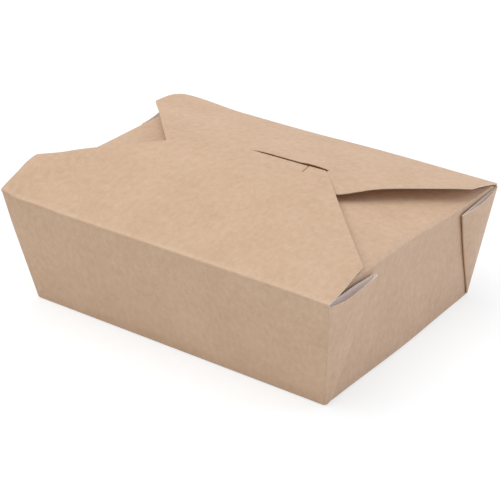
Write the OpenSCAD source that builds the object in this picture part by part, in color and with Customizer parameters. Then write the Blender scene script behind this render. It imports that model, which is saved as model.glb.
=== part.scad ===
// Takeaway box folded from one die-cut sheet of kraft board.
// X runs along the long side, Y from the front wall to the rear wall and Z up.
// The origin is the middle of the underside. The box is shown closed.

/* [Tray] */
// Length of the base, over the corner webs
base_l = 195; // [170:1:225]
// Width of the base, between the long folds
base_w = 140; // [120:1:160]
// Length at the rim, over the corner webs
rim_l = 215; // [205:1:240]
// Width at the rim
rim_w = 162; // [150:1:176]
// Height of the rim above the table
tray_h = 66; // [45:1:95]

/* [Board] */
// Thickness of the board
board_t = 0.45; // [0.35:0.05:0.6]
// Outside radius of the folds round the base
fold_r = 1.2; // [0.8:0.1:2]

/* [Corner webs] */
// How far the web's edge lies below the rim at the corner
web_drop_corner = 1.4; // [1.2:0.1:3]
// How far the web's edge lies below the rim at its tip
web_drop_tip = 2.6; // [2:0.1:6]
// Radius of the web's tip
web_tip_r = 3; // [1:0.5:5]
// How far the outer ply springs away from the inner one at the top
web_pocket = 3; // [1:0.5:6]

/* [Long flaps] */
// Straight length of each long flap's side, before its diagonal
shoulder_len = 29; // [24:1:34]
// Angle of the diagonals, from the length of the side
diagonal_angle = 45; // [40:1:48]
// Radius of the corners of the long flaps
flap_corner_r = 2; // [1:0.5:4]
// Length of the front flap along the board, from its crease to the root of its tongue
front_len = 98.5; // [92:0.5:102]
// Slope of the front flap at its crease
front_rise = 17; // [14:0.5:20]
// Slope of the rear flap at its crease
rear_rise = 20; // [18:0.5:23]
// Reach of the rear flap past the slit, under the front flap
rear_tail = 23.5; // [15:0.5:30]
// Gap between the front flap and the rear flap below it, at the slit
flap_gap = 1.2; // [1:0.1:2]

/* [Tongue and slit] */
// Width of the tongue at its root
tongue_w = 53; // [40:1:58]
// Length of the tongue below the slit
tongue_len = 12; // [8:0.5:16]
// How much narrower the tongue is on each side at its lower edge
tongue_taper = 4; // [2:0.5:8]
// Radius of the tongue's lower corners
tongue_r = 5; // [2:0.5:8]
// Length of the two short cuts that free the root of the tongue
relief_len = 8; // [5:0.5:12]
// Width of the short cuts
relief_w = 0.6; // [0.5:0.1:1]
// Clearance between the tongue and each side of the slit
slit_clear = 0.35; // [0.3:0.05:0.6]
// Share of the board beside the tongue that the slit runs on into
slit_share = 0.31; // [0.1:0.01:0.5]

/* [End flaps] */
// Length of the end flaps
end_len = 58; // [45:1:64]
// Width of the end flaps at their inner edge
end_tip_w = 90; // [70:1:96]
// Distance between the end flap's root and the rim's corner
end_root_gap = 4; // [3.5:0.5:8]
// Radius of the end flaps' inner corners
end_corner_r = 11; // [4:1:16]
// Gap between the end flaps' corners and the long flaps above them
end_gap = 1.2; // [0.8:0.1:3]

/* [Crease of the front flap] */
// Gap between the front flap and the wall that it hinges on
crease_gap = 0.4; // [0.35:0.05:0.6]

/* [Hidden] */
$fn = 96;
// Overlap of pieces of board that are one sheet or are glued
fuse = 0.1;
// Facets of a full turn on the bent flaps
bend_fn = 720;
// Points on the arc of a rounded corner
corner_steps = 6;
// Strips in the sprung ply of a corner web
pocket_strips = 12;
// Slack round what a cutting shape has to pass
past = 5;

// Lengths of the tray itself, inside the folded webs on its ends
wall_base_l = base_l - 4 * board_t;
wall_rim_l = rim_l - 4 * board_t;

// Lean of the walls away from upright
lean_end = atan((rim_l - base_l) / 2 / tray_h);
lean_long = atan((rim_w - base_w) / 2 / tray_h);
// Heights of the walls along their slope
end_slant = tray_h / cos(lean_end);
long_slant = tray_h / cos(lean_long);

// Bend radius of the front flap, which ends level
front_bend_r = front_len * 180 / (PI * front_rise);
// Place of the tongue's root
root_y = -rim_w / 2 + front_bend_r * sin(front_rise);
root_z = tray_h + front_bend_r * (1 - cos(front_rise));
// Hinge line of the front flap, in the middle of the board
hinge_y = -rim_w / 2 + board_t / 2;
hinge_z = tray_h - board_t / 2;
// Distance from the hinge line to the tongue, which stays the same down its length
tongue_reach = norm([root_y - hinge_y, root_z - hinge_z]);
root_angle = atan2(root_z - hinge_z, root_y - hinge_y);
tongue_turn = 2 * asin(tongue_len / 2 / tongue_reach);
tongue_lean = tongue_turn / 2 - root_angle;

// The rear flap passes this far below the tongue's root
slit_z = root_z - board_t - flap_gap;
rear_chord = [rim_w / 2 - root_y, slit_z - tray_h];
rear_chord_angle = atan2(rear_chord[1], rear_chord[0]);
rear_bend_r = norm(rear_chord) / (2 * sin(rear_rise - rear_chord_angle));
rear_reach = rear_chord[0] + rear_tail;
// The slit takes in the path of the tongue as it swings out
slit_drop = slit_z - board_t / 2 - hinge_z;
slit_far = hinge_y + sqrt(tongue_reach ^ 2 - slit_drop ^ 2) + slit_clear;
tongue_bow = tongue_reach * (1 - cos(tongue_turn / 2));
slit_near = hinge_y + sqrt((tongue_reach - board_t - tongue_bow) ^ 2 - slit_drop ^ 2) - slit_clear;

// Height of a bent board above its crease, at a distance in from the crease
function bend_height(r, rise, d) = sqrt(r ^ 2 - (r * sin(rise) - d) ^ 2) - r * cos(rise);
// The end flaps rise until their corners lie just below the long flaps
end_tip_in = rim_w / 2 - end_tip_w / 2;
end_room = min(
    bend_height(front_bend_r, front_rise, end_tip_in),
    bend_height(rear_bend_r, rear_rise, end_tip_in)
);
end_rise = asin((end_room - board_t - end_gap) / end_len);

// Points of the arc that rounds the corner p between its neighbours a and b
function corner(a, p, b, r) =
    let (
        to_a = (a - p) / norm(a - p),
        to_b = (b - p) / norm(b - p),
        half = acos(to_a * to_b) / 2,
        middle = p + (to_a + to_b) / norm(to_a + to_b) * r / sin(half),
        from = p + to_a * r / tan(half) - middle,
        to = p + to_b * r / tan(half) - middle
    )
    [for (i = [0:corner_steps])
        let (v = from * (1 - i / corner_steps) + to * i / corner_steps)
        middle + v / norm(v) * r];

// An outline with each corner rounded to its own radius, or sharp where that is 0
function rounded(points, radii) =
    let (n = len(points))
    [for (i = [0:n - 1])
        each radii[i] == 0
            ? [points[i]]
            : corner(points[(i + n - 1) % n], points[i], points[(i + 1) % n], radii[i])];

// Section across two opposite walls, with the folds at the base rounded
module wall_section(base, rim, inset, r) {
    lower = base / 2 - inset;
    upper = rim / 2 - inset;
    polygon(rounded(
        [[-lower, inset], [lower, inset], [upper, tray_h + inset], [-upper, tray_h + inset]],
        [r, r, 0, 0]
    ));
}

// Solid inside the walls, at a depth below the outer faces of the board
module tray_block(inset, r) {
    intersection() {
        rotate([90, 0, 0])
            linear_extrude(rim_w + 2 * past, center = true)
                wall_section(wall_base_l, wall_rim_l, inset, r);
        rotate([90, 0, 90])
            linear_extrude(rim_l + 2 * past, center = true)
                wall_section(base_w, rim_w, inset, r);
    }
}

// Base and four walls. The front wall and its corners stop below the crease of the front flap.
module tray() {
    front_top = hinge_z - board_t / 2 - crease_gap;
    difference() {
        tray_block(0, fold_r);
        tray_block(board_t, fold_r - board_t);
        translate([-rim_l / 2 - past, -rim_w / 2 - past, front_top])
            cube([rim_l + 2 * past, past + end_root_gap - crease_gap, tray_h]);
    }
}

// Half of a corner web as it lies on the end wall, in the wall's own plane.
// The first point is the box's bottom corner and the second the top corner.
web_half_angle = (90 - atan((rim_w - base_w) / 2 / end_slant) - atan((rim_l - base_l) / 2 / long_slant)) / 2;
web_fold_angle = web_half_angle - atan((rim_w - base_w) / 2 / end_slant);
// The foot starts just above the table, so the outer ply doesn't reach below the base
web_foot_s = 2 * board_t * tan(lean_end);
web_foot = [base_w / 2 + web_foot_s * (rim_w - base_w) / 2 / end_slant, web_foot_s];
web_top_s = end_slant - web_drop_corner;
web_top = [base_w / 2 + web_top_s * (rim_w - base_w) / 2 / end_slant, web_top_s];
web_tip_s = end_slant - web_drop_tip;
web_tip = [base_w / 2 - web_tip_s * tan(web_fold_angle), web_tip_s];
web_tip_arc = corner(web_top, web_tip, web_foot, web_tip_r);

// The inner ply is glued flat to the end wall
module inner_ply() {
    translate([-fuse, 0, 0])
        rotate([90, 0, 90])
            linear_extrude(board_t + fuse)
                polygon(concat([web_foot, web_top], web_tip_arc));
}

// The outer ply springs away from the inner one, most at the middle of its top edge.
// Its strips all run to the box's bottom corner, so it bends in one direction only.
module outer_ply() {
    run_end = web_tip_arc[0];
    edge = concat(
        [for (i = [0:pocket_strips - 1]) web_top + (run_end - web_top) * i / pocket_strips],
        web_tip_arc
    );
    n = len(edge);
    function share(p) = norm(p - web_top) / norm(run_end - web_top);
    function spring(p) = web_pocket * sin(180 * min(share(p), 1)) ^ 1.2;
    near = [for (p = edge) [board_t - fuse + spring(p), p[0], p[1]]];
    far = [for (p = edge) [2 * board_t + spring(p), p[0], p[1]]];
    foot_near = [board_t - fuse, web_foot[0], web_foot[1]];
    foot_far = [2 * board_t, web_foot[0], web_foot[1]];
    points = concat([foot_near, foot_far], near, far);
    polyhedron(
        points,
        concat(
            [for (i = [0:n - 2]) [0, 2 + i, 3 + i]],
            [for (i = [0:n - 2]) [1, 3 + n + i, 2 + n + i]],
            [for (i = [0:n - 2]) [2 + i, 2 + n + i, 3 + i]],
            [for (i = [0:n - 2]) [2 + n + i, 3 + n + i, 3 + i]],
            [[0, 1, 2 + n], [0, 2 + n, 2]],
            [[0, n + 1, 2 * n + 1], [0, 2 * n + 1, 1]]
        )
    );
}

// Corner web, folded in two on the outside of the end wall
module corner_web() {
    translate([wall_base_l / 2, 0, 0])
        rotate([0, lean_end, 0]) {
            inner_ply();
            outer_ply();
        }
}

// Flap hinged on an end wall, which lies lowest in the closed box
module end_flap() {
    root = rim_w / 2 - end_root_gap;
    tip = end_tip_w / 2;
    translate([wall_rim_l / 2, 0, tray_h])
        rotate([0, end_rise, 0])
            translate([0, 0, -board_t])
                linear_extrude(board_t)
                    polygon(rounded(
                        [[0, -root], [0, root], [-end_len, tip], [-end_len, -tip]],
                        [0, 0, end_corner_r, end_corner_r]
                    ));
}

// Outline of a long flap seen from above, from its crease at y = 0 inwards
module flap_outline(half_w, reach) {
    far_w = half_w - (reach - shoulder_len) * tan(diagonal_angle);
    polygon(rounded(
        [[-half_w, 0], [half_w, 0], [half_w, shoulder_len], [far_w, reach], [-far_w, reach], [-half_w, shoulder_len]],
        [0, 0, flap_corner_r, flap_corner_r, flap_corner_r, flap_corner_r]
    ));
}

// Board bent along its length, rising from a crease on the X axis and curving towards level
module bent_board(r, rise, turn, width) {
    translate([-width / 2, r * sin(rise), -r * cos(rise)])
        rotate([90, 0, 90])
            rotate([0, 0, 90 + rise - turn])
                rotate_extrude(angle = turn, $fn = bend_fn)
                    translate([r - board_t, 0])
                        square([board_t, width]);
}

// Long flap with its outline cut out of the bent board
module long_flap(r, rise, reach, half_w) {
    turn = rise - asin(sin(rise) - (reach + past) / r);
    intersection() {
        bent_board(r, rise, turn, 2 * half_w);
        translate([0, 0, -past])
            linear_extrude(tray_h)
                flap_outline(half_w, reach);
    }
}

// Rear flap, with the slit that takes the tongue
module rear_flap() {
    half_at_slit = rim_l / 2 - (rim_w / 2 - root_y - shoulder_len) * tan(diagonal_angle);
    slit_half = tongue_w / 2 + (half_at_slit - tongue_w / 2) * slit_share;
    difference() {
        translate([0, rim_w / 2, tray_h])
            rotate([0, 0, 180])
                long_flap(rear_bend_r, rear_rise, rear_reach, rim_l / 2);
        translate([-slit_half, slit_near, slit_z - past])
            cube([2 * slit_half, slit_far - slit_near, 2 * past]);
    }
}

// Tongue on the far edge of the front flap, bent down through the slit
module tongue() {
    root = tongue_w / 2;
    low = root - tongue_taper;
    translate([0, root_y, root_z])
        rotate([90 - tongue_lean, 0, 0])
            linear_extrude(board_t)
                polygon(rounded(
                    [[-root, 0], [-low, -tongue_len], [low, -tongue_len], [root, 0]],
                    [0, tongue_r, tongue_r, 0]
                ));
}

// The folded sheet without its front flap: tray, glued webs, end flaps and rear flap
module carton() {
    color([0.82, 0.70, 0.59]) {
        tray();
        for (x = [0, 1], y = [0, 1]) {
            mirror([x, 0, 0])
                mirror([0, y, 0])
                    corner_web();
        }
        for (x = [0, 1]) {
            mirror([x, 0, 0])
                end_flap();
        }
        rear_flap();
    }
}

// Front flap, which closes the box over the other three and opens first
module front_flap() {
    half_w = rim_l / 2 - board_t;
    color([0.84, 0.72, 0.60]) {
        difference() {
            translate([0, -rim_w / 2, tray_h])
                long_flap(front_bend_r, front_rise, root_y + rim_w / 2, half_w);
            for (side = [-1, 1]) {
                translate([side * (tongue_w + relief_w) / 2 - relief_w / 2, root_y - relief_len, root_z - past])
                    cube([relief_w, relief_len + past, 2 * past]);
            }
        }
        translate([-half_w, hinge_y, hinge_z])
            rotate([0, 90, 0])
                cylinder(d = board_t, h = 2 * half_w, $fn = 24);
        tongue();
    }
}

carton();
front_flap();
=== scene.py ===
import math

import bmesh
import bpy
from mathutils import Matrix, Vector


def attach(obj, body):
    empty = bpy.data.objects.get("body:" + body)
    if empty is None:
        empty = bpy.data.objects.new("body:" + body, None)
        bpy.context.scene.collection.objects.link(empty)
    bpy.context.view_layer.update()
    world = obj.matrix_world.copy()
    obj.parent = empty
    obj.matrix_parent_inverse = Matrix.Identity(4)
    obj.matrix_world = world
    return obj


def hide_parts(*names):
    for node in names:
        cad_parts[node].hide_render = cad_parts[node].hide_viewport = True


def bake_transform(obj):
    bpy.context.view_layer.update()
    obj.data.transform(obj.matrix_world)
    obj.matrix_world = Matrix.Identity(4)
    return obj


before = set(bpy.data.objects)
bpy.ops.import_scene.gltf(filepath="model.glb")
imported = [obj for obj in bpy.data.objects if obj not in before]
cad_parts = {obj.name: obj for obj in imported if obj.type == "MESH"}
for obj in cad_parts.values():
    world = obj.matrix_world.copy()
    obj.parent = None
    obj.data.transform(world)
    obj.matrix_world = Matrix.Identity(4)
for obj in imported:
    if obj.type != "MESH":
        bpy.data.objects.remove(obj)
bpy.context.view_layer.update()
scene = bpy.context.scene
scene.view_settings.view_transform = "Standard"

# Camera
# A long lens looks down on the front right corner of the box from about chest height.
# Its place, its length and its slight roll were fitted to the box's edges.
MM = 0.001
camera_turn = math.radians(37.47)
camera_rise = math.radians(27.40)
camera_roll = math.radians(-1.34)
camera_distance = 872.0 * MM
camera_aim = Vector((1.2, -2.5, 30.0)) * MM
focal_in_picture_widths = 1588 / 500

towards_camera = Vector((
    math.sin(camera_turn) * math.cos(camera_rise),
    -math.cos(camera_turn) * math.cos(camera_rise),
    math.sin(camera_rise),
))
camera = bpy.data.objects.new("Camera", bpy.data.cameras.new("Camera"))
camera.data.sensor_width = 36.0
camera.data.lens = focal_in_picture_widths * camera.data.sensor_width
camera.matrix_world = (
    Matrix.Translation(camera_aim + towards_camera * camera_distance)
    @ (-towards_camera).to_track_quat("-Z", "Y").to_matrix().to_4x4()
    @ Matrix.Rotation(camera_roll, 4, "Z")
)
scene.collection.objects.link(camera)
scene.camera = camera

# Studio light
# The box stands in a white room. A wide soft light hangs over it, a little to the
# front left. The walls of the room and a cool window behind it at the right fill the shadows.
room_light = (0.91, 0.96, 1.0)
room_strength = 0.655


def put(tree, kind, settings=(), values=()):
    """Adds a node, with its settings and the values or links of its sockets."""
    made = tree.nodes.new("ShaderNode" + kind)
    for name, value in dict(settings).items():
        setattr(made, name, value)
    for socket, value in dict(values).items():
        if isinstance(value, bpy.types.NodeSocket):
            tree.links.new(value, made.inputs[socket])
        else:
            made.inputs[socket].default_value = value
    return made


world = bpy.data.worlds.new("White room")
world.use_nodes = True
scene.world = world
room = world.node_tree
room.nodes.clear()
path = put(room, "LightPath")
camera_or_glossy = put(room, "Math", {"operation": "MAXIMUM"}, {
    0: path.outputs["Is Camera Ray"], 1: path.outputs["Is Glossy Ray"],
})
any_seen = put(room, "Math", {"operation": "MAXIMUM"}, {
    0: camera_or_glossy.outputs[0], 1: path.outputs["Is Transmission Ray"],
})
lit = put(room, "Background", values={"Color": (*room_light, 1.0), "Strength": room_strength})
seen = put(room, "Background", values={"Color": (1.0, 1.0, 1.0, 1.0)})
choice = put(room, "MixShader", values={"Fac": any_seen.outputs[0], 1: lit.outputs[0], 2: seen.outputs[0]})
put(room, "OutputWorld", values={"Surface": choice.outputs[0]})


def round_light(name, place, width, watts, colour):
    """Adds a round light that points at the middle of the box's foot."""
    light = bpy.data.objects.new(name, bpy.data.lights.new(name, "AREA"))
    light.data.shape = "DISK"
    light.data.size = width
    light.data.energy = watts
    light.data.color = colour
    light.location = place
    light.rotation_euler = (-place).to_track_quat("-Z", "Y").to_euler()
    scene.collection.objects.link(light)


round_light("Soft light", Vector((-0.35, -0.31, 1.5)), width=1.6, watts=13.4, colour=(1.0, 0.985, 0.94))
round_light("Cool window", Vector((1.35, 1.1, 0.6)), width=1.2, watts=8.7, colour=(0.70, 0.80, 1.0))

# Floor
# A plain white table carries the box. What the camera sees of it is nearly white,
# and it keeps a pale shadow round the box's foot.
table_width = 8
table_drop = 0.2 * MM
table_white = (0.92, 0.92, 0.92)
glow_share = 0.55
glow_strength = 1.15

bpy.ops.object.select_all(action="DESELECT")
bpy.ops.mesh.primitive_plane_add(size=table_width, location=(0, 0, -table_drop))
floor = bpy.context.object
floor.name = "Floor"
bpy.ops.object.transform_apply(location=True, rotation=False, scale=False)
paint = bpy.data.materials.new("White table")
paint.use_nodes = True
table = paint.node_tree
table.nodes.clear()
matt = put(table, "BsdfDiffuse", values={"Color": (*table_white, 1.0)})
glow = put(table, "Emission", values={"Color": (1.0, 1.0, 1.0, 1.0), "Strength": glow_strength})
path = put(table, "LightPath")
share = put(table, "Math", {"operation": "MULTIPLY"}, {0: path.outputs["Is Camera Ray"], 1: glow_share})
both = put(table, "MixShader", values={"Fac": share.outputs[0], 1: matt.outputs[0], 2: glow.outputs[0]})
put(table, "OutputMaterial", values={"Surface": both.outputs[0]})
floor.data.materials.append(paint)

# Board
# Unbleached kraft board is brown with fine fibres and cloudy patches where the pulp is
# thicker. Its inner face is matt white, and its cut edges show the paler middle.
kraft_dark = (0.53, 0.347, 0.226)
kraft_light = (0.66, 0.457, 0.318)
kraft_speck = (0.30, 0.175, 0.095)
white_dark = (0.70, 0.63, 0.57)
white_light = (0.79, 0.73, 0.67)
edge_dark = (0.60, 0.47, 0.35)
edge_light = (0.80, 0.70, 0.58)
# How much the painted highlight along the front flap's crease pales the tone
crease_painted_highlight = 0.35
darkest_pulp, palest_pulp = 1.06, 1.98
speck_start, speck_full = 0.66, 0.78
roughness_spread = 0.06
board_shine = 0.4
relief_strength = 0.5


def patches(tree, place, patches_per_metre, detail, roughness):
    """Noise on a place in metres, with its patches per metre along each axis."""
    spread = put(tree, "Mapping", values={"Vector": place, "Scale": patches_per_metre})
    noise = put(tree, "TexNoise", values={
        "Vector": spread.outputs["Vector"], "Scale": 1.0, "Detail": detail, "Roughness": roughness,
    })
    return noise.outputs["Fac"]


def weigh(tree, *shares):
    """Adds up values, each with its own weight."""
    total = None
    for value, weight in shares:
        part = put(tree, "Math", {"operation": "MULTIPLY"}, {0: value, 1: weight}).outputs[0]
        if total is not None:
            part = put(tree, "Math", {"operation": "ADD"}, {0: total, 1: part}).outputs[0]
        total = part
    return total


pulp = bpy.data.node_groups.new("Pulp and fibres", "ShaderNodeTree")
for name in ("Tone", "Specks", "Height"):
    pulp.interface.new_socket(name, in_out="OUTPUT", socket_type="NodeSocketFloat")
place = put(pulp, "TexCoord")
body_place, sheet_place = place.outputs["Object"], place.outputs["UV"]
clouds = patches(pulp, body_place, (38, 38, 38), detail=3, roughness=0.55)
blotches = patches(pulp, sheet_place, (300, 225, 1), detail=5, roughness=0.6)
streaks = patches(pulp, sheet_place, (900, 560, 1), detail=3, roughness=0.6)
hairs = patches(pulp, sheet_place, (2400, 700, 1), detail=2, roughness=0.5)
grit = patches(pulp, body_place, (1600, 1600, 1600), detail=2, roughness=0.5)
tone = weigh(pulp, (clouds, 0.7), (blotches, 1.3), (streaks, 0.4), (grit, 0.6))
tone = put(pulp, "MapRange", values={"Value": tone, "From Min": darkest_pulp, "From Max": palest_pulp})
specks = put(pulp, "MapRange", {"interpolation_type": "SMOOTHSTEP"}, {
    "Value": hairs, "From Min": speck_start, "From Max": speck_full,
})
height = weigh(pulp, (hairs, 0.5), (grit, 0.3), (streaks, 0.4))
sockets = pulp.nodes.new("NodeGroupOutput")
pulp.links.new(tone.outputs[0], sockets.inputs["Tone"])
pulp.links.new(specks.outputs[0], sockets.inputs["Specks"])
pulp.links.new(height, sockets.inputs["Height"])


def board_face(name, pulp_colours, speck, speck_share, roughness, relief, through=(0, 0, 0)):
    """One face of the board, from its darker and paler pulp and the colour of its specks.
    The last colour is a painted glow: the face gives off this light itself, in place of the light that
    comes through the thin board from its other side."""
    face = bpy.data.materials.new(name)
    face.use_nodes = True
    tree = face.node_tree
    tree.nodes.clear()
    dark, light = pulp_colours
    grain = put(tree, "Group", {"node_tree": pulp})
    # The crease attribute marks where a painted highlight pales the tone
    crease_highlight_node = put(tree, "Attribute", {"attribute_name": "crease"})
    tone = put(tree, "Math", {"operation": "MULTIPLY_ADD"}, {
        0: crease_highlight_node.outputs["Fac"], 1: crease_painted_highlight, 2: grain.outputs["Tone"],
    })
    paper = put(tree, "Mix", {"data_type": "RGBA"}, {
        "Factor": tone.outputs[0], 6: (*dark, 1.0), 7: (*light, 1.0),
    })
    amount = put(tree, "Math", {"operation": "MULTIPLY"}, {0: grain.outputs["Specks"], 1: speck_share})
    specked = put(tree, "Mix", {"data_type": "RGBA"}, {
        "Factor": amount.outputs[0], 6: paper.outputs[2], 7: (*speck, 1.0),
    })
    rough = put(tree, "MapRange", values={
        "Value": grain.outputs["Tone"],
        "To Min": roughness + roughness_spread, "To Max": roughness - roughness_spread,
    })
    bump = put(tree, "Bump", values={
        "Height": grain.outputs["Height"], "Strength": relief_strength, "Distance": relief,
    })
    shader = put(tree, "BsdfPrincipled", values={
        "Base Color": specked.outputs[2], "Roughness": rough.outputs[0], "Normal": bump.outputs[0],
        "Specular IOR Level": board_shine, "Emission Color": (*through, 1.0), "Emission Strength": 1.0,
    })
    put(tree, "OutputMaterial", values={"Surface": shader.outputs[0]})
    return face


kraft = board_face(
    "Kraft outside", (kraft_dark, kraft_light), kraft_speck,
    speck_share=0.30, roughness=0.74, relief=0.02 * MM,
)
# The white inside has a faint orange painted glow, which warms the dark inside seen through the slit and
# the shade under the flaps
inside = board_face(
    "White inside", (white_dark, white_light), edge_dark,
    speck_share=0.10, roughness=0.80, relief=0.03 * MM, through=(0.032, 0.011, 0.002),
)
# A copy of the white inside with a stronger painted glow, which lightens the webs' pockets
web_inside_painted_glow = board_face(
    "White inside of a web with stronger painted glow", (white_dark, white_light), edge_dark,
    speck_share=0.10, roughness=0.80, relief=0.03 * MM, through=(0.080, 0.060, 0.062),
)
cut_edge = board_face(
    "Cut edge", (edge_dark, edge_light), kraft_dark,
    speck_share=0.30, roughness=0.85, relief=0.05 * MM,
)

# Tray, end flaps and rear flap
# They are one sheet of the board. It is creased, folded up into a tray and closed over
# the food. The rear flap has a slit cut through it, which takes the front flap's tongue.
board = 0.45 * MM
# The lengths leave room for the corner webs' two layers on each end wall
base_length, base_width = 193.2 * MM, 140 * MM
rim_length, rim_width = 213.2 * MM, 162 * MM
rim_height = 66 * MM
flap_half = 107.5 * MM
half_length, half_width = rim_length / 2, rim_width / 2
base_fold = 0.7 * MM
crease_round = 0.8 * MM
front_wall_top = 64.45 * MM
columns, rows, end_columns = 40, 8, 24
corner_cuts = 6
cut_threshold = 1e-7
TINY = 0.02 * MM

rear_bend = 216.4 * MM
rear_rise = math.radians(20)
rear_reach = 88.4 * MM
rear_steps = 28
shoulder, left_shoulder = 29 * MM, 30.9 * MM
flap_round = 2 * MM
slit_near, slit_far = 15.3 * MM, 16.7 * MM
slit_half = 40.5 * MM
slit_margin = 6 * MM

end_flap_length = 58 * MM
end_flap_rise = math.radians(7.1)
end_flap_root = 77 * MM
end_flap_tip = 45 * MM
end_flap_round = 11 * MM
end_flap_steps = 10
end_corner_slope = 1.6
end_gap = 0.1 * MM
web_foot_height = 0.7 * MM
web_drop_corner = 1.55 * MM


def choose(kind, test):
    """Selects what passes the test in the mesh being edited. A face is tested by its middle
    and its normal, an edge by its two ends and a vertex by its place."""
    bpy.ops.mesh.select_mode(type=kind)
    bpy.ops.mesh.select_all(action="DESELECT")
    mesh = bpy.context.edit_object.data
    shape = bmesh.from_edit_mesh(mesh)
    shape.normal_update()
    if kind == "FACE":
        for face in shape.faces:
            face.select_set(bool(test(face.calc_center_median(), face.normal)))
    elif kind == "EDGE":
        for edge in shape.edges:
            edge.select_set(bool(test(edge.verts[0].co, edge.verts[1].co)))
    else:
        for point in shape.verts:
            point.select_set(bool(test(point.co)))
    shape.select_flush_mode()
    bmesh.update_edit_mesh(mesh)


def cut(test, place, normal, clear=False):
    """Cuts the chosen faces with a plane. With clear, what lies on the normal's side goes."""
    choose("FACE", test)
    bpy.ops.mesh.bisect(plane_co=place, plane_no=normal, clear_outer=clear, threshold=cut_threshold)


def everywhere(p, n):
    return True


def round_corner(test, corner, before, after, radius, upright=False):
    """Takes the sharp corner off an outline with cuts along an arc. The places are X and Y,
    or X and Z on an upright piece."""
    corner, before, after = Vector(corner), Vector(before), Vector(after)
    to_before = (before - corner).normalized()
    to_after = (after - corner).normalized()
    middle = corner + (to_before + to_after).normalized() * radius / math.sin(to_before.angle(to_after) / 2)
    tangents = [corner + side * (middle - corner).dot(side) for side in (to_before, to_after)]
    first, last = [(tangent - middle).normalized() for tangent in tangents]
    for i in range(1, corner_cuts):
        outwards = first.slerp(last, i / corner_cuts)
        place = middle + outwards * radius
        if upright:
            cut(test, (place.x, 0, place.y), (outwards.x, 0, outwards.y), clear=True)
        else:
            cut(test, (*place, 0), (*outwards, 0), clear=True)


def on_rear_crease(a, b):
    return max(abs(a.z - rim_height), abs(b.z - rim_height)) < TINY and min(a.y, b.y) > half_width - TINY


def on_end_crease(a, b):
    return (
        max(abs(a.z - rim_height), abs(b.z - rim_height)) < TINY
        and min(abs(a.x), abs(b.x)) > half_length - TINY
        and max(abs(a.y), abs(b.y)) < end_flap_root + TINY
    )


def on_rear_flap(p, n):
    return n.z > 0.5 and p.z > rim_height and abs(n.x) < 0.05


def in_slit(p, n):
    return on_rear_flap(p, n) and slit_near < p.y < slit_far


def on_wall(p, n):
    return p.z < rim_height and abs(n.z) < 0.5


def on_end(p, n):
    """Whether a face belongs to an end wall or to its flap."""
    return p.z > web_foot_height and n.x * p.x > 0 and abs(n.x) > 0.05 and abs(n.y) < 0.2


bpy.ops.object.select_all(action="DESELECT")
bpy.ops.mesh.primitive_cube_add(size=1, location=(0, 0, rim_height / 2))
carton = bpy.context.object
carton.name = "folded_board"
carton.scale = (base_length, base_width, rim_height)
bpy.ops.object.transform_apply(location=True, rotation=True, scale=True)
bpy.ops.object.mode_set(mode="EDIT")
choose("VERT", lambda p: p.z > rim_height - TINY)
bpy.ops.transform.resize(
    value=(rim_length / base_length, rim_width / base_width, 1), center_override=(0, 0, 0)
)
choose("FACE", lambda p, n: n.z > 0.9)
bpy.ops.mesh.delete(type="ONLY_FACE")
choose("EDGE", lambda a, b: max(a.z, b.z) < TINY)
bpy.ops.mesh.bevel(offset=base_fold, segments=3, affect="EDGES")

# The front wall ends below the crease of the front flap
cut(lambda p, n: n.y < -0.9, (0, 0, front_wall_top), (0, 0, 1))
choose("FACE", lambda p, n: n.y < -0.9 and p.z > front_wall_top)
bpy.ops.mesh.delete(type="FACE")

# Rear flap, swept back over the tray from the top of the rear wall
choose("EDGE", on_rear_crease)
rear_centre = (
    0, half_width - rear_bend * math.sin(rear_rise), rim_height - rear_bend * math.cos(rear_rise)
)
rear_turn = rear_rise - math.asin(math.sin(rear_rise) - rear_reach / rear_bend)
bpy.ops.mesh.spin(steps=rear_steps, angle=rear_turn, center=rear_centre, axis=(-1, 0, 0))
choose("VERT", lambda p: p.z > rim_height + TINY)
bpy.ops.transform.resize(value=(flap_half / half_length, 1, 1), center_override=(0, 0, 0))
bpy.ops.mesh.select_all(action="SELECT")
bpy.ops.mesh.normals_make_consistent(inside=False)

# A grid over the walls and the rear flap lets them bow
for i in range(1, columns):
    cut(lambda p, n: abs(n.x) < 0.5, (-half_length + rim_length * i / columns, 0, 0), (1, 0, 0))
for i in range(1, rows):
    cut(on_wall, (0, 0, rim_height * i / rows), (0, 0, 1))
for height in (web_foot_height, rim_height - web_drop_corner):
    cut(lambda p, n: on_wall(p, n) and abs(n.y) > 0.5, (0, 0, height), (0, 0, 1))
for i in range(1, end_columns):
    place = (0, -half_width + rim_width * i / end_columns, 0)
    cut(lambda p, n: on_wall(p, n) and abs(n.y) < 0.5, place, (0, 1, 0))

# Outline of the rear flap, with its slit
far_y = half_width - rear_reach
for side, straight in ((-1, left_shoulder), (1, shoulder)):
    far_half = flap_half - (rear_reach - straight)
    corner, far_corner = (side * flap_half, half_width - straight), (side * far_half, far_y)
    cut(on_rear_flap, (*corner, 0), (side, -1, 0), clear=True)
    round_corner(on_rear_flap, corner, (side * flap_half, half_width), far_corner, flap_round)
    round_corner(on_rear_flap, far_corner, corner, (0, far_y), flap_round)
for place in (slit_near, slit_far):
    cut(lambda p, n: on_rear_flap(p, n) and abs(p.x) < slit_half + slit_margin, (0, place, 0), (0, 1, 0))
for side in (-1, 1):
    cut(lambda p, n: in_slit(p, n) and p.x * side > 0, (side * slit_half, 0, 0), (1, 0, 0))
choose("FACE", lambda p, n: in_slit(p, n) and abs(p.x) < slit_half)
bpy.ops.mesh.delete(type="FACE")

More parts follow.
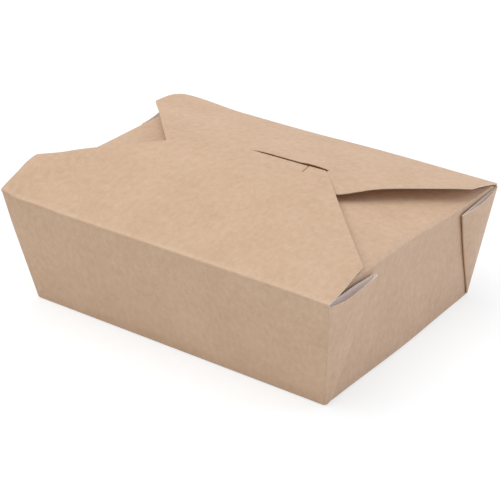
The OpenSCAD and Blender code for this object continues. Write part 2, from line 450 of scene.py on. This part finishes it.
# End flaps, drawn out from the middle of each end wall's top
step = end_flap_length / end_flap_steps
for side in (-1, 1):
    for end in (-1, 1):
        cut(lambda p, n: on_wall(p, n) and n.x * side > 0.9, (0, end * end_flap_root, 0), (0, 1, 0))
    choose("EDGE", lambda a, b: on_end_crease(a, b) and a.x * side > 0)
    for i in range(end_flap_steps):
        bpy.ops.mesh.extrude_edges_move(TRANSFORM_OT_translate={"value": (
            -side * step * math.cos(end_flap_rise), 0, step * math.sin(end_flap_rise)
        )})
bpy.ops.mesh.select_all(action="SELECT")
bpy.ops.mesh.normals_make_consistent(inside=False)
inner_x = half_length - end_flap_length * math.cos(end_flap_rise)
for side in (-1, 1):
    def on_end_flap(p, n):
        return p.z > rim_height and n.x * side > 0.05

    for end in (-1, 1):
        root = (side * half_length, end * end_flap_root)
        tip = (side * inner_x, end * end_flap_tip)
        across = Vector((root[0] - tip[0], root[1] - tip[1])).orthogonal()
        across *= math.copysign(1, across.y * end)
        cut(on_end_flap, (*root, 0), (*across, 0), clear=True)
        round_corner(on_end_flap, tip, root, (tip[0], 0), end_flap_round)


def on_corner(p):
    share = p.z / rim_height
    return (
        abs(abs(p.x) - base_length / 2 - (half_length - base_length / 2) * share) < TINY
        and abs(abs(p.y) - base_width / 2 - (half_width - base_width / 2) * share) < TINY
    )


# The long walls run on into the corner webs, so the end walls come free of them. The end
# walls' top corners are cut off at a slant, which keeps them under the front flap's fold.
choose("EDGE", lambda a, b: (
    on_corner(a) and on_corner(b) and min(a.z, b.z) > web_foot_height - TINY and abs(a.z - b.z) > TINY
))
bpy.ops.mesh.edge_split(type="EDGE")
for end in (-1, 1):
    cut(
        lambda p, n: on_wall(p, n) and abs(n.x) > 0.9 and p.y * end > end_flap_root,
        (0, end * end_flap_root, rim_height), (0, end, end_corner_slope), clear=True,
    )

# Rounded creases along the tops of the walls
choose("EDGE", lambda a, b: on_rear_crease(a, b) or on_end_crease(a, b))
bpy.ops.mesh.bevel(offset=crease_round, segments=3, affect="EDGES")
bpy.ops.mesh.delete_loose()

# The end walls and their flaps stand a hair inside the webs that are glued to them
ends = carton.vertex_groups.new(name="ends")
choose("FACE", on_end)
bpy.ops.object.vertex_group_assign()
for side in (-1, 1):
    choose("FACE", lambda p, n: on_end(p, n) and p.x * side > 0)
    bpy.ops.transform.translate(value=(-side * end_gap, 0, 0))
bpy.ops.object.mode_set(mode="OBJECT")

# Corner webs
# At each corner the sheet runs on from the long wall, folds over the end wall, doubles
# back on itself along a slanting fold and is glued to the end wall's outside. Where the
# end walls have bowed inwards, the web's two layers spring apart and leave a pocket.
web_fold = 0.9 * MM
layers = 0.95 * MM
glue_gap = 0.03 * MM
tip_squash = 0.8
foot_width_share = 0.02
foot_clearance = 0.3 * MM
web_fold_steps, outer_steps, tip_steps, inner_steps = 5, 16, 6, 12

# Bows of the right end wall (1) and the left one (-1) at the rim, in mm: how deep each is,
# up to where along Y it is that deep, and over how long a run it fades out
end_bows = {1: ((2.6, 0, 38), (1.6, -70, 42)), -1: ((0.3, -10, 60), (1.2, -70, 42))}


def fade(t):
    """Falls smoothly from 1 at 0 to 0 at 1."""
    t = min(max(t, 0.0), 1.0)
    return 1 - t * t * (3 - 2 * t)


def bow(end, y):
    """How far an end wall and its flap have sprung inwards at the rim."""
    return MM * sum(depth * fade((y / MM - start) / run) for depth, start, run in end_bows[end])


def web_section(end, side, run, bulge=0, tip_out=0, stand=0, tip_stand=0, bowed=0):
    """The folded sheet's outer face seen from above, from the corner to the tip and back.
    Each point gives how far it lies out from the end wall, and how far in from the corner.
    The outer layer springs out by bulge in its middle and by tip_out at its tip, and the
    inner one by stand and tip_stand. The inner one also follows the end wall's bow, and
    bowed is the share of the bow that it takes."""
    points = [(0.0, 0.0)]
    for i in range(web_fold_steps + 1):
        angle = math.pi / 2 * i / web_fold_steps
        points.append((
            layers - web_fold * (1 - math.sin(angle)), web_fold * (1 - math.cos(angle))
        ))
    for i in range(1, outer_steps + 1):
        t = i / outer_steps
        points.append((layers + tip_out * t + bulge * math.sin(math.pi * t), web_fold + run * t))

    def inner(along, off):
        return glue_gap + off - bowed * bow(end, side * (half_width - along))

    outer_tip, tip_along = points[-1]
    inner_tip = inner(tip_along, tip_stand)
    turn = (outer_tip - inner_tip) / 2
    for i in range(1, tip_steps + 1):
        angle = math.pi * i / tip_steps
        points.append((
            outer_tip - turn * (1 - math.cos(angle)), tip_along + turn * math.sin(angle) * tip_squash
        ))
    for i in range(1, inner_steps + 1):
        t = i / inner_steps
        along = tip_along + (web_fold - tip_along) * t
        points.append((inner(along, tip_stand * (1 - t) ** 2 + stand * math.sin(math.pi * t)), along))
    return points


def draw_wire(points):
    """Adds a line of edges to the mesh being edited, by extruding a single point."""
    bpy.ops.mesh.primitive_plane_add(size=MM, location=points[0])
    bpy.ops.mesh.merge(type="CENTER")
    for before, after in zip(points, points[1:]):
        bpy.ops.mesh.extrude_vertices_move(TRANSFORM_OT_translate={"value": after - before})


def corner_web(end, side, tip_y, tip_drop, **springs):
    """Draws the section at the rim and at the bottom corner, joins them and trims the edges."""
    bpy.ops.object.select_all(action="DESELECT")
    bpy.ops.mesh.primitive_plane_add(size=MM, location=(0, 0, 0))
    web = bpy.context.object
    bpy.ops.object.mode_set(mode="EDIT")
    bpy.ops.mesh.select_mode(type="VERT")
    bpy.ops.mesh.select_all(action="SELECT")
    bpy.ops.mesh.delete(type="VERT")
    run = half_width - tip_y - web_fold
    draw_wire([
        Vector((end * (half_length + out), side * (half_width - along), rim_height))
        for out, along in web_section(end, side, run, **springs, bowed=1)
    ])
    draw_wire([
        Vector((end * (base_length / 2 + out), side * (base_width / 2 - along), 0))
        for out, along in web_section(end, side, run * foot_width_share)
    ])
    bpy.ops.mesh.select_all(action="SELECT")
    bpy.ops.mesh.bridge_edge_loops(number_cuts=rows - 1, interpolation="LINEAR")
    corner = Vector((0, side * half_width, rim_height - web_drop_corner))
    tip = Vector((0, side * tip_y, rim_height - tip_drop))
    cut(everywhere, corner, Vector((side, 0, 0)).cross(corner - tip), clear=True)
    cut(everywhere, (0, 0, web_foot_height), (0, 0, -1), clear=True)
    foot_y = base_width / 2 - web_fold - foot_clearance
    cut(everywhere, (0, side * foot_y, web_foot_height), (0, -side, -1), clear=True)
    bpy.ops.mesh.delete_loose()
    bpy.ops.mesh.select_all(action="SELECT")
    web.vertex_groups.new(name="webs")
    bpy.ops.object.vertex_group_assign()
    bpy.ops.object.mode_set(mode="OBJECT")
    return web


webs = [
    corner_web(
        1, -1, tip_y=36.9 * MM, tip_drop=3.3 * MM,
        bulge=2.0 * MM, tip_out=-0.2 * MM, stand=1.2 * MM, tip_stand=0.3 * MM,
    ),
    corner_web(
        -1, -1, tip_y=37.7 * MM, tip_drop=2.6 * MM,
        bulge=0.4 * MM, tip_out=0.3 * MM, stand=0.6 * MM, tip_stand=0.3 * MM,
    ),
    corner_web(
        1, 1, tip_y=41.0 * MM, tip_drop=3.5 * MM,
        bulge=2.4 * MM, tip_out=0.9 * MM, stand=0.3 * MM, tip_stand=0.9 * MM,
    ),
    corner_web(
        -1, 1, tip_y=37.7 * MM, tip_drop=2.2 * MM,
        bulge=1.6 * MM, tip_out=2.2 * MM, stand=0, tip_stand=0.6 * MM,
    ),
]
bpy.ops.object.select_all(action="DESELECT")
for web in webs:
    web.select_set(True)
carton.select_set(True)
bpy.context.view_layer.objects.active = carton
bpy.ops.object.join()
bpy.ops.object.mode_set(mode="EDIT")
bpy.ops.mesh.select_mode(type="VERT")
bpy.ops.mesh.select_all(action="SELECT")
bpy.ops.mesh.remove_doubles(threshold=TINY)
bpy.ops.mesh.normals_make_consistent(inside=False)
bpy.ops.uv.cube_project(cube_size=1.0)
bpy.ops.object.mode_set(mode="OBJECT")

# Spring in the closed board
# The closed box holds its flaps under a light strain, so the board springs away from its
# flat form. The flaps lift along their free edges, the end walls bow inwards at the rim,
# and the ends of the base press the feet of the end walls outwards.

# The lifts of the long walls and flaps, in mm: the place of each in X and Y, how far the
# board lies above its true place there, and how far that reaches along X and Y
front_lifts = [
    (-107, -81, 2.3, 10, 10),
    (-107, -73, 1.2, 12, 8),
    (-85, -81, 0.6, 26, 9),
    (-107, -62, 4.0, 24, 24),
    (-103, -46, 3.1, 34, 30),
    (-85, -26, 2.4, 34, 30),
    (-60, -5, 1.2, 34, 28),
    (107, -70, -1.4, 24, 18),
    (95, -38, -0.9, 22, 20),
    (78, -22, -1.9, 34, 30),
    (62, -6, -1.0, 22, 20),
]
rear_lifts = [
    (-107, 74, 3.4, 44, 26),
    (-107, 58, 1.4, 26, 18),
    (-70, 81, 1.2, 70, 30),
    (30, 81, 1.0, 90, 26),
    (-90, 34, 1.4, 40, 26),
    (-60, 4, 1.3, 34, 26),
    (90, 34, -0.5, 44, 30),
    (58, 2, -1.6, 24, 22),
    (46, 8, 1.1, 12, 11),
]
still_height = 45 * MM

# The end flaps' arch over most of their width, and the hump in it near the front
arch_height, arch_half, arch_fade = 0.9 * MM, 50 * MM, 20 * MM
hump_height, hump_y, hump_reach = 2.2 * MM, -22 * MM, 36 * MM
arch_skew = 0.8

# The clearance of the end walls' free side edges, and the height over which it grows
edge_clearance, edge_clearance_run = 0.7 * MM, 4 * MM

# The push at the feet of the end walls: near the corners, and what the middle has more
corner_push, middle_push, middle_reach = 1.1 * MM, 1.1 * MM, 60 * MM
push_start, push_height, base_end = 3.5 * MM, 40 * MM, 2 * MM

# The slit's ends turn back a little, and its right end is lifted. The lip behind the slit
# rests on the front flap's edge: it rises from the left, is a share higher from its peak
# on, and fades out to the right and to the back.
slit_turn, slit_turn_run = 1.2 * MM, 5.5 * MM
slit_end_lift, slit_end_reach_x, slit_end_reach_y = 1.9 * MM, 7 * MM, 5 * MM
lip_height, lip_back = 2.3 * MM, 26 * MM
lip_left, lip_left_run = -24 * MM, 24 * MM
lip_right, lip_right_run = 34 * MM, 12 * MM
peak_share, peak_start, peak_run = 0.3, 20 * MM, 9 * MM


def lifted(p, lifts):
    """The point moved by a list of lifts, which fade out down the walls."""
    above = 1 - fade((p.z - still_height) / (rim_height - still_height))
    x, y = p.x / MM, p.y / MM
    lift = sum(
        amount * fade(math.hypot((x - at_x) / reach_x, (y - at_y) / reach_y))
        for at_x, at_y, amount, reach_x, reach_y in lifts
    )
    return p + Vector((0, 0, lift * above * MM))


def foot_push(p):
    """How far the ends of the base press the feet of the end walls outwards."""
    push = corner_push + middle_push * fade(abs(p.y) / middle_reach)
    clear_of_corner = 1 - fade((base_width / 2 - abs(p.y)) / push_start)
    return push * clear_of_corner * fade(p.z / push_height)


def end_arch(p):
    """How far an end flap arches above its true place."""
    along_flap = min(max((half_length - abs(p.x)) / end_flap_length, 0), 1)
    arch = arch_height * fade((abs(p.y) - arch_half) / arch_fade)
    arch += hump_height * fade(abs(p.y - hump_y) / hump_reach)
    return arch * math.sin(math.pi * along_flap ** arch_skew)


def slit_lift(p):
    """How far the rear flap stands up at the lip behind its slit and at the slit's right end."""
    behind = p.y - slit_far
    if p.z <= rim_height:
        return 0
    if behind > -TINY:
        lip = fade(behind / lip_back) * fade((p.x - lip_right) / lip_right_run)
        lip *= 1 - fade((p.x - lip_left) / lip_left_run)
        lip *= 1 + peak_share * (1 - fade((p.x - peak_start) / peak_run))
        return lip_height * lip
    if p.x > slit_half - TINY:
        off_x, off_y = p.x - slit_half, behind + (slit_far - slit_near) / 2
        return slit_end_lift * fade(math.hypot(off_x / slit_end_reach_x, off_y / slit_end_reach_y))
    return 0


for point in carton.data.vertices:
    p = point.co
    if abs(p.x) > base_length / 2 - base_end:
        p.x += math.copysign(foot_push(p), p.x)
    if any(share.group == ends.index for share in point.groups):
        end = math.copysign(1, p.x)
        corner_y = base_width / 2 + (half_width - base_width / 2) * p.z / rim_height
        if p.z > rim_height:
            p.z += end_arch(p)
        elif abs(p.y) > corner_y - 2 * TINY:
            growth = min((p.z - web_foot_height) / edge_clearance_run, 1)
            p.y -= math.copysign(edge_clearance, p.y) * growth
        p.x -= end * bow(end, p.y) * min(p.z / rim_height, 1)
    elif p.y < 0 and p.z < rim_height + crease_round:
        point.co = lifted(p, front_lifts)
    else:
        raised = lifted(p, rear_lifts)
        raised.z += slit_lift(p)
        if p.z > rim_height and slit_near - TINY < p.y < slit_far + TINY:
            raised.y += slit_turn * (1 - fade((abs(p.x) - slit_half + slit_turn_run) / slit_turn_run))
        point.co = raised


# Each set of finishes has the sheet's outer face, its inner face and its cut edge
finishes = (kraft, inside, cut_edge)
web_finishes = (kraft, web_inside_painted_glow, cut_edge)
sharp_angle = math.radians(35)


def thicken(piece):
    """Gives a folded sheet the board's thickness and its finishes, and smooths its shading."""
    for finish in (*finishes, *web_finishes):
        piece.data.materials.append(finish)
    bpy.ops.object.select_all(action="DESELECT")
    piece.select_set(True)
    bpy.context.view_layer.objects.active = piece
    solid = piece.modifiers.new("Board", "SOLIDIFY")
    solid.thickness = board
    solid.offset = -1
    solid.use_even_offset = True
    solid.use_quality_normals = True
    solid.thickness_clamp = 0.0
    solid.material_offset = 1
    solid.material_offset_rim = 2
    bpy.ops.object.modifier_apply(modifier=solid.name)
    bpy.ops.object.shade_smooth_by_angle(angle=sharp_angle)


# A web's inner face lies in an open pocket, and the others lie in the closed box, so each has its own
# painted glow in place of the light that comes through the board; the web's glow is stronger and lightens
# the pockets
in_web = carton.vertex_groups["webs"].index
web_points = {
    point.index for point in carton.data.vertices if any(share.group == in_web for share in point.groups)
}
for face in carton.data.polygons:
    face.material_index = len(finishes) if len(web_points.intersection(face.vertices)) > 2 else 0
thicken(carton)
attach(carton, "carton")
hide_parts("carton")

# Front flap
# It is the sheet's fourth flap, which closes over the other three. It bends at its crease
# on the front wall, arches over the box and tucks its tongue through the rear flap's slit.
front_bend = 332.0 * MM
front_rise = math.radians(17)
front_half = flap_half - board
front_fold = 0.9 * MM
front_steps, fold_steps = 32, 6
wall_lean = math.atan((rim_width - base_width) / 2 / rim_height)
strip_height = 0.70 * MM
crease_highlight_width = 0.3 * MM
tongue_half, tongue_length = 27.6 * MM, 12 * MM
tongue_lean = math.radians(5.2)
tongue_taper, tongue_round = 4 * MM, 5 * MM
tongue_fold = 0.5 * MM
tongue_fold_steps, tongue_rows = 4, 4
relief_length = 8 * MM
relief_margin = 6 * MM
relief_slant = 1.2 * MM
left_gape, right_gape = 0.12 * MM, 0.6 * MM
merge_distance = 0.001 * MM

fold_turn = math.pi / 2 + wall_lean - front_rise
fold_run = front_fold * math.tan(fold_turn / 2)
up_wall = Vector((0, -math.sin(wall_lean), math.cos(wall_lean)))
up_flap = Vector((0, math.cos(front_rise), math.sin(front_rise)))
crease = Vector((0, -half_width, rim_height))
fold_start = crease - up_wall * fold_run
fold_end = crease + up_flap * fold_run
under_flap = Vector((0, math.sin(front_rise), -math.cos(front_rise)))

bpy.ops.object.select_all(action="DESELECT")
bpy.ops.mesh.primitive_plane_add(
    size=1, location=fold_start - up_wall * strip_height / 2, rotation=(math.pi / 2 + wall_lean, 0, 0)
)
front = bpy.context.object
front.name = "front_flap_board"
front.scale = (2 * front_half, strip_height, 1)
bpy.ops.object.transform_apply(location=True, rotation=True, scale=True)
bpy.ops.object.mode_set(mode="EDIT")
choose("EDGE", lambda a, b: min(a.z, b.z) > fold_start.z - TINY)
bpy.ops.mesh.spin(
    steps=fold_steps, angle=fold_turn, center=fold_end + under_flap * front_fold, axis=(1, 0, 0)
)
front_centre = Vector((
    0, -half_width + front_bend * math.sin(front_rise), rim_height - front_bend * math.cos(front_rise)
))
choose("EDGE", lambda a, b: min(a.z, b.z) > fold_end.z - TINY)
bpy.ops.mesh.spin(
    steps=front_steps, angle=front_rise - fold_run / front_bend, center=front_centre, axis=(1, 0, 0)
)
bpy.ops.mesh.select_all(action="SELECT")
bpy.ops.mesh.normals_make_consistent(inside=False)
root_y = front_centre.y
root_z = front_centre.z + front_bend


def on_front_flap(p, n):
    return n.z > 0.5


for i in range(1, columns):
    cut(everywhere, (-half_length + rim_length * i / columns, 0, 0), (1, 0, 0))
shoulder_y = -half_width + shoulder
far_half = front_half - (root_y - shoulder_y)
for side in (-1, 1):
    corner, far_corner = (side * front_half, shoulder_y), (side * far_half, root_y)
    cut(on_front_flap, (*corner, 0), (side, 1, 0), clear=True)
    round_corner(on_front_flap, corner, (side * front_half, -half_width), far_corner, flap_round)
    round_corner(on_front_flap, far_corner, corner, (0, root_y), flap_round)

# Short cuts that free the tongue, which then folds down
relief_end = root_y - relief_length
tongue_start = root_y - tongue_fold
cut(lambda p, n: abs(p.x) < tongue_half + relief_margin, (0, relief_end, 0), (0, 1, 0))
for side, gape in ((-1, left_gape), (1, right_gape)):
    for place in (tongue_half, tongue_half + gape):
        cut(lambda p, n: p.y > relief_end, (side * place, 0, 0), (1, 0, 0))
    choose("FACE", lambda p, n: p.y > relief_end and tongue_half < p.x * side < tongue_half + gape)
    bpy.ops.mesh.delete(type="FACE")
cut(lambda p, n: p.y > relief_end and abs(p.x) < tongue_half, (0, tongue_start, 0), (0, 1, 0))
choose("FACE", lambda p, n: p.y > tongue_start and abs(p.x) < tongue_half)
bpy.ops.mesh.delete(type="FACE")
choose("EDGE", lambda a, b: (
    min(a.y, b.y) > tongue_start - TINY and max(abs(a.x), abs(b.x)) < tongue_half + TINY
))
bpy.ops.mesh.spin(
    steps=tongue_fold_steps, angle=math.pi / 2 - tongue_lean,
    center=(0, tongue_start, root_z - tongue_fold), axis=(1, 0, 0),
)
down_tongue = Vector((0, math.sin(tongue_lean), -math.cos(tongue_lean)))
for i in range(tongue_rows):
    bpy.ops.mesh.extrude_edges_move(TRANSFORM_OT_translate={
        "value": down_tongue * (tongue_length - tongue_fold) / tongue_rows
    })


def on_tongue(p, n):
    return abs(n.y) > 0.9 and p.y > tongue_start


low_z = root_z - tongue_length * math.cos(tongue_lean)
for side in (-1, 1):
    high, low = (side * tongue_half, root_z), (side * (tongue_half - tongue_taper), low_z)
    cut(on_tongue, (high[0], 0, high[1]), (side * tongue_length, 0, -tongue_taper), clear=True)
    round_corner(on_tongue, low, high, (0, low_z), tongue_round, upright=True)
bpy.ops.mesh.delete_loose()
bpy.ops.mesh.select_all(action="SELECT")
bpy.ops.mesh.remove_doubles(threshold=merge_distance)
bpy.ops.mesh.normals_make_consistent(inside=False)
bpy.ops.uv.cube_project(cube_size=1.0)
bpy.ops.object.mode_set(mode="OBJECT")

# A painted highlight pales a thin band along the crease, and the right relief cut runs a little outwards
crease_highlight_mark = front.data.attributes.new(name="crease", type="FLOAT", domain="POINT")
for point in front.data.vertices:
    p = point.co
    crease_highlight_mark.data[point.index].value = float(abs(p.z - fold_end.z) < crease_highlight_width)
    if p.y > relief_end - TINY and tongue_half - TINY < p.x < tongue_half + right_gape + TINY:
        p.x += relief_slant * max(root_y - p.y, 0) / relief_length
    point.co = lifted(p, front_lifts)
thicken(front)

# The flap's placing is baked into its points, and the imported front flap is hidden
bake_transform(front)
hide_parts("front_flap")
